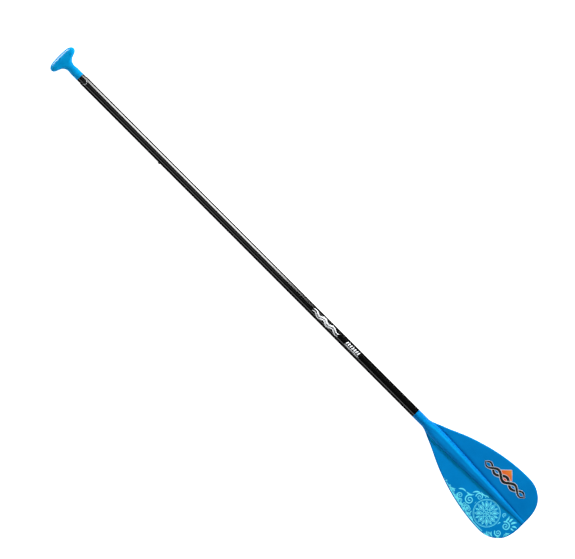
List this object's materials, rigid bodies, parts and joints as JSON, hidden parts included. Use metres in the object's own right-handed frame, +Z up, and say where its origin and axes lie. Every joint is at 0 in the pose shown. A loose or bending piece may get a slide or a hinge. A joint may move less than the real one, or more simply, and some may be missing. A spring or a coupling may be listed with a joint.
{
  "type": "single blade paddle",
  "caption": "Stand-up paddle with a T-shaped grip on a telescoping handle, a round shaft, a snap-button height lock and a raked blade with a raised spine.",
  "frame": {"origin": "under the middle of the paddle's box, on the surface that it lies on, with the handle at its shortest setting", "axes": "+X along the shaft from the grip to the blade's tip, +Z up out of the blade's spine side, +Y across the blade"},
  "size_m": [1.883, 0.208, 0.0831],
  "materials": {
    "blade_plastic": "moulded blue nylon with a soft gloss",
    "grip_plastic": "blue moulded grip, satin with a fine stipple",
    "shaft_composite": "black fibre composite under clear gloss",
    "mark_black": "black mark",
    "mark_pale": "pale grey mark",
    "adhesive": "cured epoxy",
    "foam": "closed-cell foam",
    "spring_steel": "stainless strip",
    "plug_plastic": "moulded black plastic",
    "button_steel": "stainless button"
  },
  "bodies": {
    "paddle": {"blade": "blade_plastic", "main_shaft": "shaft_composite", "index_disc": "mark_black", "index_arc": "mark_pale", "blade_adhesive": "adhesive", "blade_foam_plug": "foam", "shaft_foam_plug": "foam"},
    "handle": {"grip": "grip_plastic", "extension_tube": "shaft_composite", "grip_adhesive": "adhesive", "button_spring": "spring_steel", "extension_plug": "plug_plastic"},
    "button": {"snap_button": "button_steel"}
  },
  "joints": [
    {"name": "handle_slide", "type": "slide", "parent": "paddle", "child": "handle", "axis": [-1, 0, 0], "range_m": [0, 0.3048]},
    {"name": "button_press", "type": "slide", "parent": "handle", "child": "button", "axis": [0, 1, 0], "range_m": [0, 0.004], "stiffness_N_per_m": 2500, "springref_m": -0.002, "deforming": ["button_spring"]}
  ]
}
